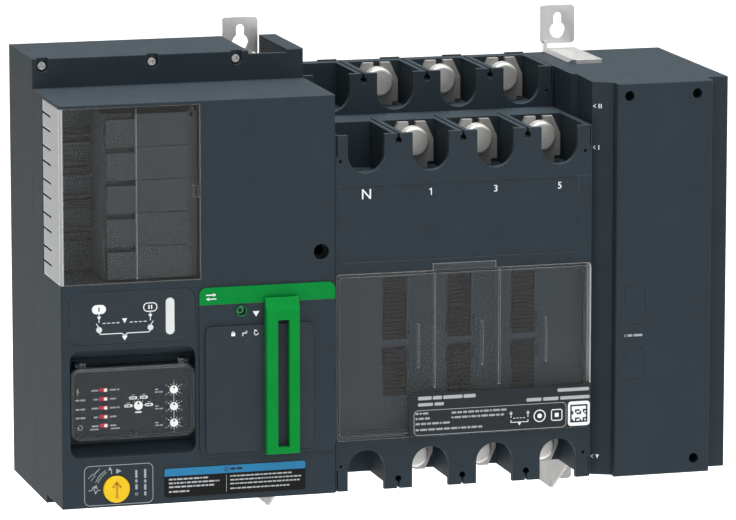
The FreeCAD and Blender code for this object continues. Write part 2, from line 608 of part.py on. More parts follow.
def terminal_plate(x, front, centre_z, side, inner_z):
    """Flat conductor whose outer end has two ears around an open slot, for a bolted lug."""
    depth = (front - PLATE_DEPTH - PLATE_T, front - PLATE_DEPTH)

    def point(across, along):
        return (x + across, centre_z + side * along)

    half = PLATE_W / 2
    head = profile_front([point(-half, -14.4), point(half, -14.4), point(half, 1.0), point(9.5, 13.0),
                          point(-9.5, 13.0), point(-half, 1.0)], depth)
    slot = block(grow((x, x), 2.6), grow(depth, 1), sorted((centre_z, centre_z + side * 14)))
    stem = block(grow((x, x), 10.8), depth, sorted((centre_z - side * 11, inner_z)))
    return cut(fuse([head, stem]), [slot, rod((x, centre_z), grow(depth, 1), 5.2),
                                    rod(point(-4.6, -12.3), grow(depth, 1), 1.2)])


def terminal_bolt(x, front, centre_z):
    """Domed captive bolt with its washer; the shank passes the slotted plate."""
    seat = front - PLATE_DEPTH
    washer = rod((x, centre_z), (seat, seat + 1.6), 10.6)
    head = rod((x, centre_z), (seat + 1.6, seat + 7.6), 10.2)
    outer = [e for e in head.Edges if e.Curve.TypeId == "Part::GeomCircle" and e.CenterOfMass.y < -seat - 7]
    head = head.makeFillet(2.2, outer)
    return fuse([washer, head, rod((x, centre_z), (seat - PLATE_T - 4, seat), 4.95)])


ROWS = {
    "source_1": (POLE_FRONT, SOURCE_1_Z, 1, 122.0),
    "source_2": (REAR_ROW, SOURCE_2_Z, 1, 122.0),
    "load": (POLE_FRONT, LOAD_Z, -1, 84.0),
}


# ---- pole unit: moving contacts -----------------------------------------------------------------
def transfer_shaft():
    """Insulated square-shouldered shaft that carries the three contact arms and the worm wheel."""
    body = bar((128, 362), SHAFT, 8.0)
    hubs = [bar(grow((x, x), 12.0), SHAFT, 14.0) for x in POLE_X]
    return fuse([body] + hubs)


def contact_arms():
    """Double-throw copper arms: between the two source conductors at rest."""
    depth, z = SHAFT
    arms = []
    for x in POLE_X:
        arm = block(grow((x, x), 9.0), (depth - 3, depth + 3), (z + 14.0, z + ARM_LENGTH))
        tip = bar(grow((x, x), 9.0), (depth, z + ARM_LENGTH), 5.0)
        arms.append(fuse([arm, tip]))
    return group(arms)


def load_links():
    """Copper straps from the load conductors to the shaft's contact hubs."""
    plate = POLE_FRONT - PLATE_DEPTH - PLATE_T
    links = []
    for x in POLE_X:
        strap = block(grow((x, x), 9.0), (58.0, plate), (78.0, 82.0))
        rise = block(grow((x, x), 9.0), (58.0, 66.0), (82.0, 97.0))
        links.append(fuse([strap, rise]))
    return group(links)


def shaft_bearings():
    rings = []
    for x in ((POLES[0] - 0.4, POLES[0] + WALL), (357.0, 361.0)):
        ring = cut(bar(x, SHAFT, 9.9 if x[0] < 200 else 12.0), [bar(grow(x, 1), SHAFT, 8.06)])
        rings.append(ring)
    foot = block((357.0, 361.0), (WALL, SHAFT[0] - 11.0), (SHAFT[1] - 6, SHAFT[1] + 6))
    rings[1] = fuse([rings[1], foot])
    return group(rings)


def worm_wheel():
    """Blank of the wheel that the spindle's worm turns; both are without teeth."""
    radius = TOOL[1] - SHAFT[1] - WORM_R - 0.4
    x = grow((TOOL[0], TOOL[0]), 2.0)
    lightening = [bar(grow(x, 1), (SHAFT[0] + 27 * math.cos(a), SHAFT[1] + 27 * math.sin(a)), 9.0)
                  for a in [math.radians(30 + 60 * i) for i in range(6)]]
    return cut(bar(x, SHAFT, radius), [bar(grow(x, 1), SHAFT, 8.0)] + lightening)


# ---- end housing and brackets -------------------------------------------------------------------
def end_housing():
    """Deep housing whose left wall steps in beside the pole unit; a sloped strip leads up to its cover."""
    ridge, ridge_front = END_RIDGE
    outline = [(END[0], 0), (END[0], 106.0), (ridge[0] + 1.5, 109.5), (ridge[0], END_FRONT),
               (ridge[1], ridge_front), (ridge[1], END_FRONT), (END[1], END_FRONT), (END[1], 0)]
    body = profile_up(outline, (0, TOP))
    rear = block((END[0] + WALL + 0.3, END[1] - WALL), (WALL, 104.0), (WALL, TOP - WALL))
    front = block((ridge[0] + WALL + 1.7, END[1] - WALL), (103.0, END_FRONT - WALL), (WALL, TOP - WALL))
    screw_holes = [rod(c, (END_FRONT - 6, END_FRONT + 1), 1.55) for c in END_SCREWS]
    return cut(body, [rear, front] + screw_holes)


def end_cover():
    x, z = END_COVER
    body = soften_front(block(x, (END_FRONT, END_COVER_FRONT), z), 1.2)
    inside = block(grow(x, -2.5), (END_FRONT - 1, END_COVER_FRONT - 2.5), (z[0] + 2.5, z[1] - 2.5))
    bosses = [rod(c, (END_FRONT, END_COVER_FRONT - 1), 6.6) for c in END_SCREWS]
    body = fuse([cut(body, [inside])] + bosses).common(block(x, (0, 200), z))
    holes = []
    for c in END_SCREWS:
        holes.append(rod(c, (END_FRONT + 3, END_COVER_FRONT + 1), 3.5))
        holes.append(rod(c, (END_FRONT - 1, END_COVER_FRONT), 1.55))
    for low, high in ((105.0, 131.5), (67.0, 88.5)):
        frame = slab((388.0, 403.5), (END_COVER_FRONT - 0.5, END_COVER_FRONT + 1), (low, high), 1.5)
        holes.append(frame.cut(slab((388.7, 402.8), (150, 162), (low + 0.7, high - 0.7), 1.0)))
    return cut(body, holes)


def end_cover_screws():
    return group([socket_screw(c, END_FRONT + 5.6, 3.0, 2.6, 1.5, 8.0) for c in END_SCREWS])


def auxiliary_contacts():
    """Two snap-in auxiliary contact blocks with screw clamps, behind the end cover."""
    blocks = []
    for z in (66.0, 104.0):
        body = block((388, 430), (96, 140), (z, z + 28))
        clamps = [rod((394 + 10 * i, z + 14), (136, 141), 3.0) for i in range(4)]
        blocks.append(cut(body, clamps))
    return group(blocks)


def keyhole_plate(centre_x, top_z):
    """Fixing ear: the screw passes the large hole and hangs in the narrow upper end."""
    x = grow((centre_x, centre_x), BRACKET_W / 2)
    plate = slab(x, (0, BRACKET_T), (top_z - BRACKET_H, top_z), 3.0)
    small, large = top_z - 8.0, top_z - 17.6
    key = [rod((centre_x, small), (-1, 3), 2.9), rod((centre_x, large), (-1, 3), 5.6),
           block(grow((centre_x, centre_x), 2.9), (-1, 3), (large, small))]
    return cut(plate, key)


def top_bracket(centre_x, inner):
    """Folded strap: ear at the wall, and a foot on the housing. inner is the side its web is on."""
    ear = keyhole_plate(centre_x, 303.0)
    edge = centre_x + inner * (BRACKET_W / 2 - 2.0)
    web_x = sorted((edge, edge - inner * BRACKET_T))
    neck = block(web_x, (0, 5.0), (TOP, 278.0))
    foot_x = sorted((edge, centre_x - inner * BRACKET_W / 2))
    corner = edge
    foot = block(foot_x, (3.0, 64.0), (TOP, TOP + 3.0))
    foot = foot.makeChamfer(2.4, [e for e in foot.Edges if abs(e.CenterOfMass.x - at(edge, 0, 0).x) < 0.01
                                  and e.CenterOfMass.z > at(0, 0, TOP + 2.9).z])
    nip = profile_up([(corner, 58.0), (corner, 65.0), (corner - inner * 5, 65.0)], (TOP - 1, TOP + 4))
    return fuse([ear, neck, cut(foot, [nip])])


def lower_bracket(centre_x, inner, bottom_z):
    """Ear at the wall and an upright web below the housing whose front edge slopes up."""
    ear = keyhole_plate(centre_x, -9.0)
    edge = centre_x + inner * BRACKET_W / 2
    web_x = sorted((edge, edge - inner * BRACKET_T))
    slope_end = 31.0 + 1.5 * (bottom_z + 35.0)
    web = profile_x([(0, -35.0), (31.0, -35.0), (slope_end, bottom_z), (0, bottom_z)], web_x)
    foot_x = sorted((edge, centre_x - inner * BRACKET_W / 2))
    foot = block(foot_x, (3.0, 64.0), (bottom_z - 2.5, bottom_z))
    return fuse([ear, web, foot])


# ---- list of nodes ------------------------------------------------------------------------------
def build():
    fascia, band = fascia_parts()
    nodes = {
        "mechanism_rear_case": mechanism_rear_case(),
        "rear_case_screws": rear_case_screws(),
        "mechanism_front_case": mechanism_front_case(),
        "module_door": module_door(),
        "module_rack": module_rack(),
        "module_blanks": module_blanks(),
        "mimic_panel": mimic_panel(),
        "indicator_light_bar": indicator_light_bar(),
        "position_lamps": position_lamps(),
        "controller_module": controller_module(),
        "controller_cover": controller_cover(),
        "controller_hinge_blocks": controller_hinge_blocks(),
        "source_selector": dial(SELECTOR, 2.9),
        "dip_bases": dip_bases(),
        "test_knob": test_knob(),
        "notice_label": notice_label(),
        "mode_fascia": fascia,
        "fascia_band": band,
        "mode_slider_panel": mode_slider_panel(),
        "mode_handle": mode_handle(),
        "release_button": release_button(),
        "manual_spindle": manual_spindle(),
        "drive_coils": drive_coils(),
        "mechanism_plates": mechanism_plates(),
        "control_board": control_board(),
        "pole_rear_housing": pole_rear_housing(),
        "pole_front_housing": pole_front_housing(),
        "source_1_shroud": source_1_shroud(),
        "source_2_shroud": source_2_shroud(),
        "load_shroud": load_shroud(),
        "arc_vent_plates": arc_vent_plates(),
        "pole_cover": pole_cover(),
        "rating_label": rating_label(),
        "transfer_shaft": transfer_shaft(),
        "contact_arms": contact_arms(),
        "load_links": load_links(),
        "shaft_bearings": shaft_bearings(),
        "worm_wheel": worm_wheel(),
        "end_housing": end_housing(),
        "end_cover": end_cover(),
        "end_cover_screws": end_cover_screws(),
        "auxiliary_contacts": auxiliary_contacts(),
        "top_left_bracket": top_bracket(FIX_X[0], 1),
        "top_right_bracket": top_bracket(FIX_X[1], -1),
        "lower_left_bracket": lower_bracket(FIX_X[0], 1, REAR_BOTTOM),
        "lower_right_bracket": lower_bracket(FIX_X[1], -1, 0.0),
    }
    for number, centre in enumerate(DIALS, 1):
        nodes[f"delay_dial_{number}"] = dial(centre, 2.7)
    for number, z in enumerate(reversed(DIP_Z), 1):
        nodes[f"dip_slider_{number}"] = dip_slider(z)
    for row, (front, centre_z, side, inner_z) in ROWS.items():
        nodes[f"{row}_terminals"] = group([terminal_plate(x, front, centre_z, side, inner_z) for x in POLE_X])
        nodes[f"{row}_bolts"] = group([terminal_bolt(x, front, centre_z) for x in POLE_X])
    return nodes


def main():
    os.makedirs("parts", exist_ok=True)
    nodes = build()
    for name, shape in nodes.items():
        if not shape.isValid() or shape.Volume <= 0:
            print("invalid:", name)
        shape.exportStep(f"parts/{name}.step")
        print(f"{name}: {len(shape.Solids)} solid(s), {shape.Volume / 1000:.2f} cm3")
    print(len(nodes), "nodes")


main()
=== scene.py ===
import json
import math
import random

import bmesh
import bpy
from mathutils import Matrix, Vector


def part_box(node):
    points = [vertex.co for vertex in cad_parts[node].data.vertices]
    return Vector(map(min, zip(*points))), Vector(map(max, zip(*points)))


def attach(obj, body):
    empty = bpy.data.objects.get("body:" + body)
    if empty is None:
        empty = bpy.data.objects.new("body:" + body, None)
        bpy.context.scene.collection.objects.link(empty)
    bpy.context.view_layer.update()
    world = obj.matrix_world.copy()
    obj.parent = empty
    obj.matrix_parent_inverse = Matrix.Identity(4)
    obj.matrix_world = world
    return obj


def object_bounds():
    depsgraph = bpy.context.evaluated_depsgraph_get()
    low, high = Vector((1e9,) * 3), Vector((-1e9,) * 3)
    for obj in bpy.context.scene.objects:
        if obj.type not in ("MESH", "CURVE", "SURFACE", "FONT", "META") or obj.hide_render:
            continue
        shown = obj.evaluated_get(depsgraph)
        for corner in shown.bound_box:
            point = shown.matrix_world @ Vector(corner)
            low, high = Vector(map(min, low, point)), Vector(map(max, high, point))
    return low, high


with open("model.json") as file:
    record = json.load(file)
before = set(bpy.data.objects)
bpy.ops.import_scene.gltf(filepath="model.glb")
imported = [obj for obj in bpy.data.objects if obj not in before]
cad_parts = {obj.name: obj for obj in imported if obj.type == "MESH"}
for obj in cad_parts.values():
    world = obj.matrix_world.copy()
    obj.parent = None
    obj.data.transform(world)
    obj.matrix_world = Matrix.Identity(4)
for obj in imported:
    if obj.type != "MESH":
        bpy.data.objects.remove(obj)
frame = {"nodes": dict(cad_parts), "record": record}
CAD_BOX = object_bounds()
NODES = frame["nodes"]
BODIES = frame["record"]["behaviour"]["bodies"]
BODY_OF = {node: body for body, members in BODIES.items() for node in members}
MM = 0.001

# ---- colours (linear) ---------------------------------------------------------------------------
SLATE = (0.0185, 0.0265, 0.0330)
SLATE_PANEL = (0.0170, 0.0245, 0.0310)
GREY_BLANK = (0.0195, 0.0255, 0.0300)
DARK_STEEL = (0.005, 0.0052, 0.0056)
METAL = (0.66, 0.66, 0.65)
TIN = (0.29, 0.285, 0.27)
WHITE = (0.80, 0.81, 0.80)
PRINT_WHITE = (0.66, 0.68, 0.69)
PRINT_GREY = (0.26, 0.28, 0.29)
PRINT_PALE = (0.31, 0.325, 0.335)
GREEN = (0.0, 0.172, 0.024)
# the grip's green darkened for the release button: painted shade of the well it sits in
SHADED_GREEN = (0.0, 0.10, 0.025)
BAND_GREEN = (0.0, 0.160, 0.026)
YELLOW = (0.58, 0.375, 0.001)
ORANGE = (0.55, 0.275, 0.0)
BLUE = (0.004, 0.138, 0.290)
RED = (0.55, 0.02, 0.035)
BLACK = (0.004, 0.004, 0.005)
# pale grey of the clear sheets' rims: a painted highlight
RIM_HIGHLIGHT = (0.72, 0.74, 0.75)
# grey that the clear sheets take at a glancing angle: a painted reflection
GLANCE_REFLECTION = (0.125, 0.13, 0.133)
CLEAR = (0.37, 0.365, 0.36)
# lighter tone for plastic edges: partly wear, partly a painted highlight
EDGE_HIGHLIGHT_AND_WEAR = (0.6, 0.62, 0.64)


# ---- materials ----------------------------------------------------------------------------------
class Shader:
    """A Principled material and short calls that add nodes to it."""

    def __init__(self, name):
        self.material = bpy.data.materials.new(name)
        self.material.use_nodes = True
        self.nodes = self.material.node_tree.nodes
        self.links = self.material.node_tree.links
        self.surface = self.nodes["Principled BSDF"]
        self.place = self.nodes.new("ShaderNodeTexCoord").outputs["Object"]

    def node(self, kind, **settings):
        node = self.nodes.new(kind)
        for key, value in settings.items():
            setattr(node, key, value)
        return node

    def noise(self, scale, detail=3.0, stretch=None):
        node = self.node("ShaderNodeTexNoise")
        node.inputs["Scale"].default_value = scale
        node.inputs["Detail"].default_value = detail
        source = self.place
        if stretch:
            mapping = self.node("ShaderNodeMapping")
            mapping.inputs["Scale"].default_value = stretch
            self.links.new(self.place, mapping.inputs["Vector"])
            source = mapping.outputs["Vector"]
        self.links.new(source, node.inputs["Vector"])
        return node.outputs["Fac"]

    def spread(self, value, low, high, start=0.0, end=1.0):
        node = self.node("ShaderNodeMapRange")
        for name, number in (("From Min", start), ("From Max", end), ("To Min", low), ("To Max", high)):
            node.inputs[name].default_value = number
        self.links.new(value, node.inputs["Value"])
        return node.outputs["Result"]

    def mix(self, factor, first, second):
        node = self.node("ShaderNodeMix", data_type="RGBA")
        for socket, value in ((node.inputs[0], factor), (node.inputs[6], first), (node.inputs[7], second)):
            if isinstance(value, bpy.types.NodeSocket):
                self.links.new(value, socket)
            else:
                socket.default_value = (*value, 1.0)
        return node.outputs[2]

    def combine(self, operation, first, second):
        node = self.node("ShaderNodeMath", operation=operation)
        self.links.new(first, node.inputs[0])
        self.links.new(second, node.inputs[1])
        return node.outputs[0]

    def larger(self, first, second):
        return self.combine("MAXIMUM", first, second)

    def lesser(self, first, second):
        return self.combine("MINIMUM", first, second)

    def beyond(self, axis, limit, side):
        """1 where that object coordinate is past the limit towards side, and 0 elsewhere."""
        axes = self.node("ShaderNodeSeparateXYZ")
        self.links.new(self.place, axes.inputs[0])
        return self.spread(axes.outputs[axis], 0.0, 1.0, limit, limit + side * 0.5 * MM)

    def within(self, axis, low, high):
        """1 where that object coordinate lies between low and high, and 0 elsewhere."""
        return self.lesser(self.beyond(axis, low, 1), self.beyond(axis, high, -1))

    def rounded(self, radius):
        """The normal with edges rounded to radius, and a mask that is 1 on those edges."""
        bevel = self.node("ShaderNodeBevel", samples=8)
        bevel.inputs["Radius"].default_value = radius
        true = self.node("ShaderNodeNewGeometry").outputs["Normal"]
        dot = self.node("ShaderNodeVectorMath", operation="DOT_PRODUCT")
        self.links.new(bevel.outputs[0], dot.inputs[0])
        self.links.new(true, dot.inputs[1])
        return bevel.outputs[0], self.spread(dot.outputs["Value"], 1.0, 0.0, 0.75, 0.995)

    def bump(self, height, strength, distance, normal=None):
        node = self.node("ShaderNodeBump")
        node.inputs["Strength"].default_value = strength
        node.inputs["Distance"].default_value = distance
        self.links.new(height, node.inputs["Height"])
        if normal is not None:
            self.links.new(normal, node.inputs["Normal"])
        return node.outputs["Normal"]

    def set(self, **values):
        for key, value in values.items():
            socket = self.surface.inputs[key.replace("_", " ")]
            if isinstance(value, bpy.types.NodeSocket):
                self.links.new(value, socket)
            elif isinstance(value, tuple) and len(value) == 3:
                socket.default_value = (*value, 1.0)
            else:
                socket.default_value = value
        return self.material


def tone(colour, factor):
    return tuple(min(1.0, c * factor) for c in colour)


def toward(colour, other, share):
    return tuple(c + (o - c) * share for c, o in zip(colour, other))


def moulded(name, colour, roughness, grain=0.10, edge=0.0004, edge_highlight_and_wear=0.16, shine=0.22):
    """Moulded plastic: fine spark-eroded grain, faint cloudiness, and rounded edges painted a little lighter
    in patches, partly wear and partly a painted highlight.
    """
    s = Shader(name)
    clouds = s.noise(45.0, 4.0)
    specks = s.noise(5200.0, 1.0)
    base = s.mix(s.spread(clouds, 0.0, 1.0, 0.3, 0.7), tone(colour, 0.93), tone(colour, 1.07))
    base = s.mix(s.spread(specks, 0.0, 0.35, 0.35, 0.75), base, tone(colour, 1.35))
    normal, rim = s.rounded(edge)
    # Edges painted lighter in patches: partly wear, partly a painted highlight.
    wear_and_highlight_patches = s.spread(s.noise(160.0, 3.0), 0.35, 1.0, 0.35, 0.65)
    edges = s.combine("MULTIPLY", rim, wear_and_highlight_patches)
    base = s.mix(edges, base, toward(colour, EDGE_HIGHLIGHT_AND_WEAR, edge_highlight_and_wear))
    rough = s.spread(s.noise(420.0, 3.0), roughness - 0.05, roughness + 0.05, 0.3, 0.7)
    return s.set(Base_Color=base, Roughness=rough, Specular_IOR_Level=shine,
                 Normal=s.bump(s.noise(2600.0, 2.0), grain, 0.00004, normal))


def plated(name, colour, roughness, brushed=None, edge=0.0003, metallic=0.55):
    """Plated sheet or turned metal: cloudy plating, and fine lines along the rolling direction if brushed."""
    s = Shader(name)
    clouds = s.noise(90.0, 5.0)
    base = s.mix(s.spread(clouds, 0.0, 1.0, 0.3, 0.7), tone(colour, 0.86), tone(colour, 1.06))
    lines = s.noise(900.0, 3.0, brushed or (1.0, 1.0, 1.0))
    normal, rim = s.rounded(edge)
    # Painted highlight: edges a quarter lighter.
    base = s.mix(s.spread(rim, 0.0, 0.6), base, tone(colour, 1.25))
    return s.set(Base_Color=base, Metallic=metallic,
                 Roughness=s.spread(lines, roughness - 0.08, roughness + 0.1, 0.3, 0.7),
                 Normal=s.bump(lines, 0.12, 0.00003, normal))


VEIL_ANGLES = (0.45, 0.62)      # layer weights between which a clear sheet turns opaque, part of its painted glancing reflection
TINT_ANGLES = (0.4, 0.58)       # layer weights between which it takes the grey of that painted reflection


def clear_plastic(name, colour, haze_and_reflection, rim_highlight_alpha, edge=0.0009, bright=None, slits=None):
    """Clear moulded sheet: see-through under a faint pale haze that partly stands in for its reflection,
    opaque grey at a glancing angle as a painted reflection, with painted highlights on its rims.

    bright holds two (axis, limit, side) tests; where both are met the sheet shows a painted highlight.
    slits holds two such tests for the wall with slits, and their (low, high) heights; those are painted
    black, a painted shade."""
    s = Shader(name)
    normal, rim = s.rounded(edge)
    # Painted highlight: the rims, and the places that pass both bright tests, turn pale grey and less clear.
    if bright:
        rim = s.larger(rim, s.lesser(*[s.beyond(*test) for test in bright]))
    glance = s.node("ShaderNodeLayerWeight")
    glance.inputs["Blend"].default_value = 0.35
    facing = glance.outputs["Facing"]
    clouds = s.spread(s.noise(30.0, 3.0), 0.0, 1.0, 0.3, 0.7)
    tint = s.mix(clouds, tone(colour, 0.94), tone(colour, 1.06))
    # Painted reflection: at a glancing angle the sheet takes a grey and turns opaque.
    tint = s.mix(s.spread(facing, 0.0, 1.0, *TINT_ANGLES), tint, GLANCE_REFLECTION)
    tint = s.mix(rim, tint, RIM_HIGHLIGHT)
    # The sheet's least opacity is a faint pale haze: partly real haze, partly a painted reflection.
    cover = s.larger(s.spread(facing, haze_and_reflection, 1.0, *VEIL_ANGLES), s.spread(rim, 0.0, rim_highlight_alpha))
    # Painted shade: the slit walls are painted black and opaque, in bands by height.
    if slits:
        wall, spans = slits
        shadow = s.within("Z", *spans[0])
        for span in spans[1:]:
            shadow = s.larger(shadow, s.within("Z", *span))
        for test in wall:
            shadow = s.lesser(shadow, s.beyond(*test))
        tint = s.mix(shadow, tint, BLACK)
        cover = s.larger(cover, shadow)
    return s.set(Base_Color=tint, Alpha=cover, Normal=normal, Specular_IOR_Level=0.12,
                 Roughness=s.spread(s.noise(300.0, 3.0), 0.08, 0.16, 0.3, 0.7))


def printed(name, colour, roughness=0.42, shine=0.25):
    """Screen-printed ink: slightly uneven cover."""
    s = Shader(name)
    base = s.mix(s.spread(s.noise(1500.0, 3.0), 0.0, 1.0, 0.3, 0.7), tone(colour, 0.9), tone(colour, 1.05))
    return s.set(Base_Color=base, Specular_IOR_Level=shine,
                 Roughness=s.spread(s.noise(700.0), roughness - 0.05, roughness + 0.05, 0.3, 0.7))


def wound(name, colour):
    """Enamelled wire in close turns around an upright axis."""
    s = Shader(name)
    wave = s.node("ShaderNodeTexWave", wave_type="BANDS", bands_direction="Z")
    wave.inputs["Scale"].default_value = 320.0
    wave.inputs["Distortion"].default_value = 0.4
    s.links.new(s.place, wave.inputs["Vector"])
    base = s.mix(wave.outputs["Fac"], tone(colour, 0.5), colour)
    return s.set(Base_Color=base, Metallic=0.6, Roughness=s.spread(s.noise(200.0), 0.3, 0.45, 0.3, 0.7),
                 Normal=s.bump(wave.outputs["Fac"], 0.5, 0.0002))


MATERIALS = {
    "housing": moulded("housing_plastic", SLATE, 0.6, shine=0.08),
    "panel": moulded("panel_film", SLATE_PANEL, 0.5, grain=0.05, edge=0.00025, shine=0.13),
    "blank": moulded("blank_plastic", GREY_BLANK, 0.5, edge_highlight_and_wear=0.10),
    "clear": clear_plastic("clear_sheet", CLEAR, 0.03, 0.16),
    "light_guide": moulded("milky_guide", (0.50, 0.52, 0.52), 0.35, grain=0.04, edge=0.0002),
    "steel": plated("zinc_plate", METAL, 0.36, (1.0, 1.0, 12.0), metallic=0.95),
    "dark_steel": moulded("blackened_steel", DARK_STEEL, 0.5, grain=0.06, edge=0.0002, edge_highlight_and_wear=0.02,
                          shine=0.06),
    "terminal": plated("tin_plate", TIN, 0.40, (12.0, 1.0, 1.0)),
    "copper": plated("copper", (0.72, 0.36, 0.22), 0.35, metallic=0.9),
    "green": moulded("green_grip", GREEN, 0.42, grain=0.05, edge=0.0005, edge_highlight_and_wear=0.08, shine=0.06),
    "band": moulded("green_band", BAND_GREEN, 0.45, grain=0.04, edge=0.0002, edge_highlight_and_wear=0.02, shine=0.06),
    "yellow": moulded("yellow_knob", YELLOW, 0.42, grain=0.05, edge=0.0003, edge_highlight_and_wear=0.10),
    "red": moulded("red_plastic", RED, 0.35, grain=0.04, edge=0.00015, edge_highlight_and_wear=0.05),
    "white": moulded("white_plastic", WHITE, 0.38, grain=0.04, edge=0.00015, edge_highlight_and_wear=0.0),
    "label": printed("label_film", (0.0120, 0.0155, 0.0185), 0.45, shine=0.15),
    "coil": wound("winding", (0.45, 0.20, 0.10)),
    "board": moulded("circuit_board", (0.015, 0.14, 0.06), 0.4, grain=0.03, edge=0.0001, edge_highlight_and_wear=0.0),
    "bearing": moulded("acetal", (0.70, 0.68, 0.62), 0.4, grain=0.03),
}
INK_WHITE = printed("ink_white", PRINT_WHITE)
INK_GREY = printed("ink_grey", PRINT_GREY)
INK_BLUE = printed("ink_blue", BLUE, 0.35)
INK_BLACK = printed("ink_black", BLACK, 0.4)
INK_PALE = printed("ink_pale", PRINT_PALE)
INK_DARK = printed("ink_dark", tone(SLATE, 0.6))
INK_ORANGE = printed("ink_orange", ORANGE)
INK_GREEN = printed("ink_green", (0.22, 0.62, 0.34))


def door_plastic():
    """The module door: a painted highlight along the fold at its front left, and the walls of the five pairs
    of slits in its side painted black as painted shade.
    """
    low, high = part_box("module_door")
    fold, slit_height, slit_reach, pair_pitch = 2.6 * MM, 1.4 * MM, 26 * MM, 22.4 * MM
    # the painted shade reaches this far past each slit's edges onto the side wall
    margin = 0.3 * MM
    tops = [high.z - first * MM - pair_pitch * pair for pair in range(5) for first in (9.2, 19.3)]
    wall = (("X", low.x + 3.0 * MM, -1), ("Y", low.y + slit_reach, 1))
    return clear_plastic("clear_door", CLEAR, 0.03, 0.34,
                         # painted highlight along the fold at the door's front left
                         bright=(("X", low.x + fold, -1), ("Y", low.y + fold, -1)),
                         slits=(wall, [(top - slit_height - margin, top + margin) for top in tops]))


def pole_cover_plastic():
    """The pole cover: a painted highlight along its right-hand edge above the rating label."""
    low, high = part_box("pole_cover")
    # painted highlight along the right-hand edge, above the rating label
    return clear_plastic("clear_cover", CLEAR, 0.036, 0.34,
                         bright=(("X", high.x - 1.3 * MM, 1), ("Z", low.z + 30 * MM, 1)))


BOLT_ZINC = plated("bolt_zinc", (0.50, 0.50, 0.48), 0.42, metallic=0.75)
# The lower brackets: the same zinc plate, darker: a painted shade.
SHADED_ZINC = plated("shaded_zinc", (0.30, 0.295, 0.285), 0.45, (1.0, 1.0, 12.0), metallic=0.8)
SPECIAL = {
    "module_door": door_plastic(),
    "pole_cover": pole_cover_plastic(),
    "controller_cover": clear_plastic("clear_settings_cover", CLEAR, 0.016, 0.12, edge=0.0006),
    "controller_module": moulded("controller_film", (0.0165, 0.0215, 0.0260), 0.5, grain=0.05, edge=0.00025,
                                 shine=0.1),
    "notice_label": printed("notice_film", (0.0022, 0.0024, 0.0028), 0.45, shine=0.12),
    # the release button: the grip's green darkened, a painted shade
    "release_button": moulded("green_button", SHADED_GREEN, 0.42, grain=0.04, edge=0.0002, edge_highlight_and_wear=0.1),
    "rear_case_screws": plated("black_zinc", (0.42, 0.42, 0.41), 0.24, metallic=1.0, edge=0.00015),
    "source_1_bolts": BOLT_ZINC,
    "source_2_bolts": BOLT_ZINC,
    "load_bolts": BOLT_ZINC,
    "lower_left_bracket": SHADED_ZINC,
    "lower_right_bracket": SHADED_ZINC,
}


def dress_cad_nodes():
    slot_of = {row["node"]: row["material_slot"] for row in frame["record"]["subparts"]}
    for name, node in NODES.items():
        node.data.materials.clear()
        node.data.materials.append(SPECIAL.get(name) or MATERIALS[slot_of[name]])


dress_cad_nodes()


# ---- outlines, in millimetres: u to the right, v up ---------------------------------------------
def rounded(u, v, radius, steps=6):
    """Rounded rectangle over the spans u and v."""
    points = []
    for (cu, cv), start in (((u[1] - radius, v[1] - radius), 0), ((u[0] + radius, v[1] - radius), 90),
                            ((u[0] + radius, v[0] + radius), 180), ((u[1] - radius, v[0] + radius), 270)):
        for i in range(steps + 1):
            a = math.radians(start + 90 * i / steps)
            points.append((cu + radius * math.cos(a), cv + radius * math.sin(a)))
    return points


def fill(u, v, radius=0.0):
    """A filled rectangle, with rounded corners if a radius is given."""
    if radius:
        return [rounded(u, v, radius)]
    return [[(u[1], v[1]), (u[0], v[1]), (u[0], v[0]), (u[1], v[0])]]


def rim(u, v, radius, width):
    """Outline of a rounded rectangle, drawn inside it."""
    inner = rounded((u[0] + width, u[1] - width), (v[0] + width, v[1] - width), max(radius - width, 0.05))
    return [rounded(u, v, radius), inner]


def disc(centre, radius, steps=24):
    return [[around(centre, radius, 360 * i / steps) for i in range(steps)]]


def ring(centre, radius, width, steps=28):
    return disc(centre, radius, steps) + disc(centre, radius - width, steps)


def around(centre, radius, degrees):
    """The point at that distance and direction from the centre."""
    a = math.radians(degrees)
    return centre[0] + radius * math.cos(a), centre[1] + radius * math.sin(a)


def triangle(tip, width, height, turn=0.0):
    """A triangle whose tip points down, turned by that many degrees about its tip."""
    cos, sin = math.cos(math.radians(turn)), math.sin(math.radians(turn))
    points = [(0, 0), (width / 2, height), (-width / 2, height)]
    return [[(tip[0] + u * cos - v * sin, tip[1] + u * sin + v * cos) for u, v in points]]


def stroke(points, width):
    """A line of that width through the points, mitred at its corners."""
    left, right = [], []
    for i, point in enumerate(points):
        before = Vector(points[i]) - Vector(points[i - 1]) if i else Vector(points[1]) - Vector(points[0])
        after = Vector(points[i + 1]) - Vector(points[i]) if i + 1 < len(points) else before
        side = (before.normalized() + after.normalized()).normalized()
        reach = width / 2 / max(0.3, side.dot(before.normalized()))
        across = Vector((-side.y, side.x)) * reach
        left.append((point[0] + across.x, point[1] + across.y))
        right.append((point[0] - across.x, point[1] - across.y))
    return [right + left[::-1]]


def arc(centre, radius, start, end, steps=14):
    """Points along an arc between two directions in degrees."""
    return [around(centre, radius, start + (end - start) * i / steps) for i in range(steps + 1)]


def words(start, lengths, height, gap=None):
    """A line of plain bars in place of words, from its lower left corner; lengths are the bars' lengths."""
    shapes, u = [], start[0]
    for length in lengths:
        shapes.append(fill((u, u + length), (start[1], start[1] + height), min(height, length) * 0.3))
        u += length + (gap or height * 0.55)
    return shapes


def line_of_words(start, width, height, seed):
    """Plain bars of mixed length that fill a line of that width."""
    dice = random.Random(seed)
    lengths, used = [], 0.0
    while used < width - height:
        length = min(height * dice.uniform(0.9, 3.6), width - used)
        lengths.append(length)
        used += length + height * 0.5
    return words(start, lengths, height, height * 0.5)


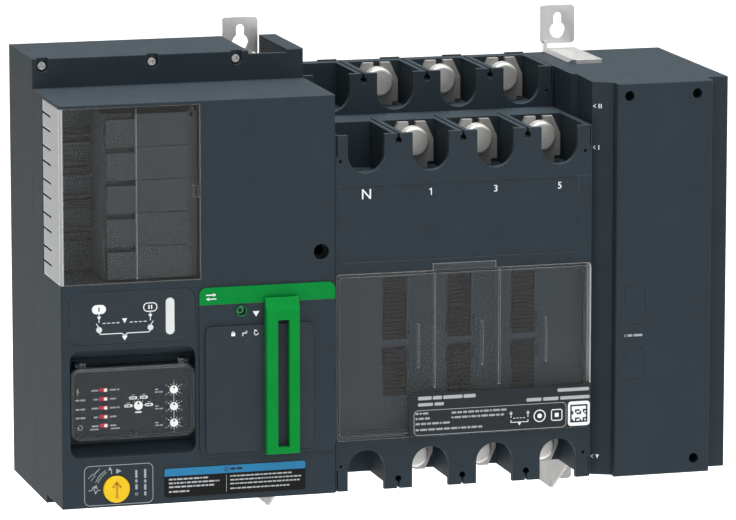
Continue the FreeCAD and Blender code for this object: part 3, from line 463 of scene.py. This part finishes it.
# ---- marks on the surfaces ----------------------------------------------------------------------
def size_of(node):
    """Width and height of a node's front, in millimetres."""
    low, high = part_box(node)
    return (high.x - low.x) / MM, (high.z - low.z) / MM


def middle_of(node, frame_node=None):
    """Middle of a node's front, in millimetres from its own lower left corner or another node's."""
    low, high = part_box(node)
    start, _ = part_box(frame_node or node)
    return ((low.x + high.x) / 2 - start.x) / MM, ((low.z + high.z) / 2 - start.z) / MM


def prism(mesh, loops, where, front, back):
    """Close one outline, or an outline and the hole inside it, between two depths."""
    rows = [[[mesh.verts.new(where(u, v, depth)) for u, v in loop] for depth in (front, back)]
            for loop in loops]
    for (face, rear), inward in zip(rows, (False, True)):
        for i in range(len(face)):
            j = (i + 1) % len(face)
            wall = [face[i], face[j], rear[j], rear[i]]
            mesh.faces.new(wall[::-1] if inward else wall)
    if len(rows) == 1:
        mesh.faces.new(rows[0][0][::-1])
        mesh.faces.new(rows[0][1])
        return
    (outer_face, outer_rear), (inner_face, inner_rear) = rows
    for i in range(len(outer_face)):
        j = (i + 1) % len(outer_face)
        mesh.faces.new([outer_face[j], outer_face[i], inner_face[i], inner_face[j]])
        mesh.faces.new([outer_rear[i], outer_rear[j], inner_rear[j], inner_rear[i]])


MARK_SINK = 0.05


def marks(name, node, shapes, material, drop=0.0, rise=0.06, slope=(0.0, 0.0)):
    """A thin layer of shapes on a node's front, measured from its lower left corner.

    drop is how far the marked surface lies behind the node's foremost one. A sloping surface meets that
    depth at u = slope[0] and falls back by slope[1] for each millimetre to the left of it. The layer stands
    rise proud of the surface and is sunk a little into it."""
    start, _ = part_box(node)

    def where(u, v, depth):
        fall = (slope[0] - u) * slope[1]
        return (start.x + u * MM, start.y + (drop + fall + depth) * MM, start.z + v * MM)

    mesh = bmesh.new()
    for loops in shapes:
        prism(mesh, loops, where, -rise, MARK_SINK)
    bmesh.ops.recalc_face_normals(mesh, faces=mesh.faces[:])
    return finish_mesh(name, mesh, material, BODY_OF[node])


def finish_mesh(name, mesh, material, body):
    data = bpy.data.meshes.new(name)
    mesh.to_mesh(data)
    mesh.free()
    data.materials.append(material)
    piece = bpy.data.objects.new(name, data)
    bpy.context.scene.collection.objects.link(piece)
    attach(piece, body)
    return piece


FONT_SIZE_PER_CAPITAL = 1.42


def glyphs(name, node, text, centre, height, material, drop=0.0):
    """A terminal number or letter as a thin raised layer, centred there."""
    low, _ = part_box(node)
    curve = bpy.data.curves.new(name, "FONT")
    curve.body = text
    curve.align_x = "CENTER"
    curve.align_y = "CENTER"
    curve.size = height * MM * FONT_SIZE_PER_CAPITAL
    curve.extrude = MARK_SINK * MM
    curve.offset = 0.04 * MM
    piece = bpy.data.objects.new(name, curve)
    bpy.context.scene.collection.objects.link(piece)
    piece.rotation_euler = (math.radians(90), 0, 0)
    piece.location = (low.x + centre[0] * MM, low.y + (drop - 0.02) * MM, low.z + centre[1] * MM)
    curve.materials.append(material)
    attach(piece, BODY_OF[node])
    return piece


# ---- mimic diagram ------------------------------------------------------------------------------
def mimic_marks():
    """One-line diagram: two numbered sources, their switches, and the load that they feed."""
    left, right, middle = 20.25, 54.95, 37.5
    numeral, foot_v, bus_v, line = (22.0, 24.7), 7.65, 6.7, 0.5
    white = [fill((left - 4.7, left + 4.7), (20.3, 26.4), 3.0),
             rim((right - 4.8, right + 4.8), (20.2, 26.4), 3.0, 0.6),
             fill((right - 1.3, right - 0.5), numeral),
             fill((right + 0.5, right + 1.3), numeral)]
    for u, lean in ((left, -1), (right, 1)):
        white.append(triangle((u, 16.2), 2.7, 2.4))
        white.append(stroke([(u, 20.4), (u, 18.4)], line))
        white.append(stroke([(u, 16.4), (u, 14.4)], line))
        white.append(stroke([(u + lean * 2.0, 14.0), (u + lean * 0.2, 11.4)], line))
    for start in (22.7, 41.0):
        white += [fill((start + 3.1 * i, start + 3.1 * i + 2.0), (13.7, 14.15)) for i in range(4)]
    white.append(triangle((middle, 13.4), 3.5, 3.2))
    for u, side in ((left, 1), (right, -1)):
        bus = [(u, foot_v), (u + side, bus_v), (middle - 2.0 * side, bus_v), (middle, 5.2)]
        white.append(stroke(bus, 0.55))
    white.append(triangle((middle, 1.7), 3.8, 3.3))
    marks("mimic_white_marks", "mimic_panel", white, INK_WHITE)
    numeral_1 = [fill((left - 0.45, left + 0.45), numeral)]
    marks("mimic_source_1_stroke", "mimic_panel", numeral_1, INK_DARK, rise=0.1)


# ---- controller settings ------------------------------------------------------------------------
DIP_ROWS = [8.8 + 6.0 * i for i in range(5)]
DIAL_U, DIAL_ROWS = 70.4, (30.7, 19.4, 8.2)
SELECTOR = (46.2, 21.2)
PILLS = ((42.7, 26.5), (49.9, 26.6), (39.4, 21.3), (53.4, 21.4))


def switch_legends():
    """Bars and signs beside the five DIP switches, and the column of functions at the far left."""
    shapes = []
    for i, v in enumerate(reversed(DIP_ROWS)):
        inset = i % 2
        shapes += words((14.4 + inset * 1.4, v - 0.55), [4.6 - inset * 1.6], 1.1)
        shapes += words((26.8, v - 0.55), [4.4, 1.6][: 1 + (i in (0, 2))], 1.1)
    shapes += words((13.2, DIP_ROWS[0] - 2.6), [6.0], 0.9) + words((27.4, DIP_ROWS[0] - 2.6), [6.2], 0.9)
    for v in (26.2, 20.0, 14.2):
        shapes += words((3.6, v), [2.6, 3.4], 1.15)
    shapes.append(stroke([(5.6, 34.6), (4.6, 32.6), (5.8, 32.6), (4.8, 30.4)], 0.5))
    shapes.append(stroke(arc((6.6, 8.2), 1.6, -150, 120), 0.45))
    shapes.append(triangle((5.0, 9.0), 1.8, 1.5, 200))
    return shapes


def dial_legends(v):
    """Tick marks around one delay dial, a dot at every other one, and its bars."""
    dial = (DIAL_U, v)
    ticks, dots = [], []
    for i in range(11):
        turn, reach = -150 + 30 * i, 4.3 if i % 2 else 4.7
        ticks.append(stroke([around(dial, 3.3, turn), around(dial, reach, turn)], 0.32))
        if i % 2 == 0:
            dots.append(disc(around(dial, 6.0, turn), 0.42, 8))
    return ticks, dots + words((57.6, v - 1.6), [2.4, 2.4], 0.9) + words((57.6, v + 0.2), [2.2], 0.9)


def controller_marks():
    node = "controller_module"
    white = [fill((u - 2.8, u + 2.8), (v - 1.0, v + 1.0), 0.95) for u, v in PILLS]
    white += words((44.0, 16.2), [4.4], 1.0)
    white += [disc(around(SELECTOR, 3.9, angle), 0.3, 8) for angle in (0, 45, 90, 135, 180, 270)]
    grey = switch_legends()
    for u, v in PILLS:
        grey += words((u - 1.0, v + 1.7), [2.0], 0.6)
    for v in DIAL_ROWS:
        ticks, legends = dial_legends(v)
        white += ticks
        grey += legends
    marks("controller_white_marks", node, white, INK_WHITE)
    marks("controller_grey_marks", node, grey, INK_GREY)
    pills = [words((u - 1.9, v - 0.45), [1.0, 1.8], 0.9, 0.5) for u, v in PILLS]
    marks("controller_pill_marks", node, [s for row in pills for s in row], INK_DARK, rise=0.1)


def dial_marks(node):
    """Dark pointer from the middle of a dial towards its rim."""
    middle = middle_of(node)
    radius = middle[0]
    shapes = [triangle((middle[0], middle[1] + radius * 0.9), radius * 0.7, radius * 0.55, 180)]
    marks(node + "_pointer", node, shapes, INK_DARK, rise=0.05)


# ---- test knob surround and notice label --------------------------------------------------------
def knob_marks():
    """Frame around the test knob, with a screwdriver, its swing between two signs, and upright bars."""
    node = "mechanism_front_case"
    knob = middle_of("test_knob", node)
    inner, outer = 13.2, 14.9
    shapes = [rim((14.5, 61.4), (1.5, 28.6), 3.8, 0.42)]
    grip = [(17.2, 20.0), (18.9, 18.6), (21.9, 21.8), (20.4, 23.2), (17.2, 20.0), (18.9, 18.6)]
    shapes += [stroke([(21.0, 22.6), (25.2, 26.6)], 0.55), stroke(grip, 0.4)]
    shapes += [stroke(arc(knob, radius, 160, 118), 0.35) for radius in (inner, outer)]
    for angle in range(124, 158, 6):
        shapes.append(stroke([around(knob, inner, angle), around(knob, outer, angle)], 0.3))
    for angle, turn in ((165, 165), (113, -60)):
        shapes.append(triangle(around(knob, 14.1, angle), 3.2, 2.4, turn))
    shapes.append(triangle((knob[0] + 3.6, 24.2), 3.6, 3.6, 90))
    shapes.append(stroke([(knob[0] - 3.2, 22.4), (knob[0] - 3.2, 26.0)], 0.6))
    pulse = [(17.4, 12.0), (19.4, 12.0), (20.6, 14.4), (22.2, 9.8), (23.4, 12.0), (25.4, 12.0)]
    shapes.append(stroke(pulse, 0.55))
    for u, spans in ((55.2, ((6.6, 9.4), (10.4, 14.4), (15.3, 17.4), (18.4, 24.6))),
                     (49.2, ((11.0, 14.6), (15.6, 17.8), (18.8, 24.2)))):
        shapes += [fill((u, u + 1.5), span, 0.5) for span in spans]
    shapes.append(rim((49.1, 50.9), (7.0, 8.8), 0.5, 0.35))
    marks("test_switch_marks", node, shapes, INK_GREY)


def knob_arrow():
    """The test knob's sunk arrow, filled with a darker tone."""
    u, v = middle_of("test_knob")
    head = [(u - 3.3, v + 1.6), (u - 2.4, v + 0.9), (u, v + 3.7), (u + 2.4, v + 0.9), (u + 3.3, v + 1.6),
            (u, v + 5.9)]
    shapes = [fill((u - 0.75, u + 0.75), (v - 5.9, v + 4.2)), [head]]
    marks("test_knob_arrow", "test_knob", shapes, INK_ORANGE, drop=0.7)


def notice_marks():
    node = "notice_label"
    width, height = size_of(node)
    band, inset = height - 5.3, 0.1
    outline = rounded((inset, width - inset), (inset, height - inset), 1.5)
    top = [(inset, band), (width - inset, band)] + [point for point in outline if point[1] > band]
    marks("notice_band", node, [[top]], INK_BLUE, rise=0.05)
    middle = width / 2
    mark = [ring((middle - 6, height - 2.6), 1.5, 0.4),
            fill((middle - 6.2, middle - 5.8), (height - 3.3, height - 2.6))]
    mark += words((middle - 3.4, height - 3.3), [3.4, 4.2], 1.4)
    marks("notice_band_marks", node, mark, INK_BLACK, rise=0.09)
    marks("notice_divider", node, [fill((42.3, 42.6), (1.6, 13.0))], INK_GREY, rise=0.05)
    lines = []
    for v, widths in ((12.0, (28, 44)), (9.4, (36, 49)), (6.8, (31, 48)), (3.6, (14, 41))):
        lines += line_of_words((3.0, v - 0.5), widths[0], 1.15, int(v * 10))
        lines += line_of_words((45.0, v - 0.5), widths[1], 1.0, int(v * 10) + 1)
    marks("notice_lines", node, lines, INK_PALE, rise=0.05)


# ---- mode slider --------------------------------------------------------------------------------
def padlock(u, v):
    return [fill((u - 1.3, u + 1.3), (v - 1.5, v + 0.5), 0.3),
            stroke(arc((u, v + 0.5), 0.9, 0, 180, 8), 0.45)]


def hand_crank(u, v):
    return [stroke([(u - 1.5, v - 1.5), (u - 1.5, v + 0.2), (u + 1.1, v + 0.2), (u + 1.1, v + 1.6)], 0.55),
            disc((u + 1.1, v + 1.3), 0.55, 10), disc((u - 1.5, v - 1.2), 0.6, 10)]


def loop_arrow(u, v):
    return [stroke(arc((u, v), 1.4, 60, 360, 14), 0.5), triangle((u + 0.2, v + 1.9), 1.7, 1.5, 105)]


def slider_marks():
    """An icon for each mode, the pointer above them, and two opposed arrows on the band."""
    row = 80.0
    icons = padlock(18.6, row) + hand_crank(26.6, row) + loop_arrow(34.4, row)
    marks("mode_icons", "mode_slider_panel", icons, INK_WHITE)
    marks("mode_pointer", "mode_fascia", [triangle((38.6, 93.2), 4.6, 3.7)], INK_WHITE)
    swap = [stroke([(4.4, 6.6), (9.6, 6.6)], 0.7), triangle((11.4, 6.6), 2.4, 2.2, 90)]
    swap += [stroke([(6.2, 3.9), (11.4, 3.9)], 0.7), triangle((4.4, 3.9), 2.4, 2.2, -90)]
    marks("band_icon", "fascia_band", swap, INK_WHITE, rise=0.05)


def button_ring():
    """Pale ring on the raised floor of the release button's well."""
    node = "release_button"
    marks("release_ring", node, [ring(middle_of(node), 2.35, 0.8)], INK_GREEN, drop=4.5)


# ---- pole unit and end housing ------------------------------------------------------------------
STRIP_SLOPE = (14.9, 6.4 / 12.9)


def pole_marks():
    """Terminal numbers on the legend strip, which lies a little behind the housing's front."""
    node, row, drop = "pole_front_housing", 166.6, 0.4
    for text, u, height in (("N", 21.6, 6.9), ("3", 111.6, 4.5), ("5", 156.6, 4.5)):
        glyphs("pole_mark_" + text, node, text, (u, row), height, INK_WHITE, drop)
    one = [stroke([(65.3, 168.0), (66.6, 168.9), (66.6, 164.4)], 0.6)]
    marks("pole_mark_1", node, one, INK_WHITE, drop)


def strip_marks():
    """Arrows and row numbers on the sloping strip between the pole unit and the end cover."""
    shapes = []
    for v, bars in ((253.7, 2), (225.5, 1), (12.6, 0)):
        shapes.append(stroke([(4.2, v + 1.2), (2.7, v), (4.2, v - 1.2)], 0.4))
        shapes += [fill((5.8 + 1.3 * i, 6.4 + 1.3 * i), (v - 1.5, v + 1.5)) for i in range(bars)]
        if not bars:
            shapes.append(triangle((6.6, v - 1.5), 2.2, 2.8))
    marks("row_marks", "end_housing", shapes, INK_WHITE, slope=STRIP_SLOPE)


def end_cover_marks():
    node = "end_cover"
    shapes = [stroke([(7.6, 98.6), (6.2, 97.6), (7.6, 96.6)], 0.4)] + words((8.4, 96.8), [3.6, 6.2], 1.6)
    marks("auxiliary_marks", node, shapes, INK_GREY)


def rating_marks():
    """Bars in place of the words, four icons, and a plain patterned tile in place of the code."""
    node = "rating_label"
    width, _ = size_of(node)
    frame_v = (0.6, 18.0)
    titles = words((6.4, 24.9), [9.5, 6.5, 13.5, 8.5], 2.4, 0.8) + words((6.4, 20.7), [10.4, 6.6], 2.1, 1.1)
    titles += words((104.7, 25.2), [22.4], 2.3) + words((82.7, 19.7), [10.6, 10.9, 21.0], 2.3, 1.2)
    marks("rating_titles", node, titles, INK_PALE)
    rows = [rim((3.4, 111.0), frame_v, 3.2, 0.4)]
    for v, start, length in ((15.7, 4.6, 11.0), (12.2, 4.6, 10.0), (8.6, 4.6, 25.0), (4.5, 4.6, 47.5),
                             (15.2, 29.9, 39.2), (11.9, 29.9, 37.0)):
        rows += line_of_words((start, v - 0.7), length, 1.4, int(start + v * 7))
    marks("rating_rows", node, rows, INK_GREY)
    left, right, middle = 71.8, 83.8, 77.8
    icons = []
    for u in (left, right):
        icons += [stroke([(u, 13.6), (u, 9.2)], 0.45), triangle((u, 10.6), 2.4, 2.0)]
    icons.append(stroke([(left, 7.6), (left, 6.0), (right, 6.0), (right, 7.6)], 0.45))
    icons.append(triangle((middle, 3.6), 2.2, 2.0))
    icons += [fill((left + 1.6 + 2.3 * i, left + 2.9 + 2.3 * i), (8.6, 9.0)) for i in range(4)]
    icons += [ring((92.1, 9.4), 4.3, 0.7), disc((92.1, 9.4), 1.6)]
    icons += [rim((100.2, 108.2), (5.4, 13.4), 1.6, 0.6), fill((102.8, 105.6), (8.0, 10.8), 0.4)]
    marks("rating_icons", node, icons, INK_WHITE)
    tile = (112.2, width - 0.3)
    marks("rating_tile", node, [fill(tile, (1.1, 18.0), 2.2)], INK_WHITE, rise=0.05)
    cells = []
    pitch, count = 1.12, 11
    start = ((tile[0] + tile[1] - pitch * count) / 2, 9.6 - pitch * count / 2)
    for i in range(count):
        for j in range(count):
            border = i in (0, count - 1) or j in (0, count - 1)
            if border or (i * i + 3 * j + i * j) % 5 < 2:
                u, v = start[0] + pitch * i, start[1] + pitch * j
                cells.append(fill((u, u + pitch * 0.98), (v, v + pitch * 0.98)))
    marks("rating_tile_cells", node, cells, INK_BLACK, rise=0.09)


mimic_marks()
controller_marks()
for dial in ("source_selector", "delay_dial_1", "delay_dial_2", "delay_dial_3"):
    dial_marks(dial)
knob_marks()
knob_arrow()
notice_marks()
slider_marks()
button_ring()
pole_marks()
strip_marks()
end_cover_marks()
rating_marks()


# ---- floor, light and camera --------------------------------------------------------------------
SIDE_LIGHT = 0.22
FRONT_LIGHT = 0.85
OVERHEAD_LIGHT = 0.8
LEFT_LEVEL = 0.25
SUN_STRENGTH = 1.95
FLOOR_DROP = 0.45
CENTRE = (0.0, -0.08, 0.0)
CAMERA_PLACE = (-1.0101, -3.4877, 0.6501)
CAMERA_DOWN, CAMERA_RIGHT = 10.33, 15.81
CAMERA_LENS = 258.4


def add_floor():
    low, _ = CAD_BOX
    mesh = bmesh.new()
    bmesh.ops.create_grid(mesh, x_segments=2, y_segments=2, size=14.0)
    data = bpy.data.meshes.new("floor")
    mesh.to_mesh(data)
    mesh.free()
    s = Shader("floor_paint")
    pale = s.mix(s.spread(s.noise(3.0), 0.0, 1.0, 0.3, 0.7), (0.93, 0.93, 0.93), (0.96, 0.96, 0.96))
    data.materials.append(s.set(Base_Color=pale, Roughness=0.9))
    floor = bpy.data.objects.new("floor", data)
    floor.location.z = low[2] - FLOOR_DROP
    bpy.context.scene.collection.objects.link(floor)


def add_light(name, place, size, power):
    """Soft rectangular light that faces the object's middle."""
    data = bpy.data.lights.new(name, "AREA")
    data.shape = "RECTANGLE"
    data.size, data.size_y = size
    data.energy = power
    light = bpy.data.objects.new(name, data)
    light.location = place
    light.rotation_euler = (Vector(CENTRE) - Vector(place)).to_track_quat("-Z", "Y").to_euler()
    bpy.context.scene.collection.objects.link(light)


def add_sun():
    """Wide overhead light that whitens the floor evenly."""
    data = bpy.data.lights.new("overhead", "SUN")
    data.energy = SUN_STRENGTH
    data.angle = math.radians(40)
    light = bpy.data.objects.new("overhead", data)
    light.rotation_euler = (math.radians(-8), 0, 0)
    bpy.context.scene.collection.objects.link(light)


def add_camera():
    """Long lens from the left and above, turned to the right and down."""
    data = bpy.data.cameras.new("camera")
    data.sensor_width = 36.0
    data.lens = CAMERA_LENS
    data.clip_end = 60.0
    camera = bpy.data.objects.new("camera", data)
    camera.location = CAMERA_PLACE
    camera.rotation_euler = (math.radians(90 - CAMERA_DOWN), 0, math.radians(-CAMERA_RIGHT))
    bpy.context.scene.collection.objects.link(camera)
    bpy.context.scene.camera = camera


def add_world():
    """White studio walls: brightest in front, dimmer at the sides and behind and most of all on the left,
    and brighter towards the ceiling."""
    world = bpy.data.worlds.new("studio")
    world.use_nodes = True
    nodes, links = world.node_tree.nodes, world.node_tree.links
    axes = nodes.new("ShaderNodeSeparateXYZ")
    links.new(nodes.new("ShaderNodeTexCoord").outputs["Generated"], axes.inputs[0])

    def ramp(axis, start, end, low, high):
        node = nodes.new("ShaderNodeMapRange")
        for name, number in (("From Min", start), ("From Max", end), ("To Min", low), ("To Max", high)):
            node.inputs[name].default_value = number
        links.new(axes.outputs[axis], node.inputs["Value"])
        return node.outputs["Result"]

    def combine(operation, first, second):
        node = nodes.new("ShaderNodeMath")
        node.operation = operation
        links.new(first, node.inputs[0])
        links.new(second, node.inputs[1])
        return node.outputs[0]

    front = ramp("Y", 0.3, -1.0, SIDE_LIGHT, FRONT_LIGHT)
    level = combine("ADD", front, ramp("Z", 0.0, 1.0, 0.0, OVERHEAD_LIGHT))
    level = combine("MULTIPLY", level, ramp("X", -0.1, -1.0, 1.0, LEFT_LEVEL))
    background = nodes["Background"]
    background.inputs["Color"].default_value = (1.0, 1.0, 1.0, 1.0)
    links.new(level, background.inputs["Strength"])
    bpy.context.scene.world = world


add_floor()
add_world()
add_light("front", (-0.5, -3.0, 1.1), (1.8, 1.8), 5.0)
add_light("top", (0.1, -0.1, 2.2), (1.8, 1.2), 80.0)
add_sun()
add_camera()
bpy.context.scene.view_settings.view_transform = "Standard"
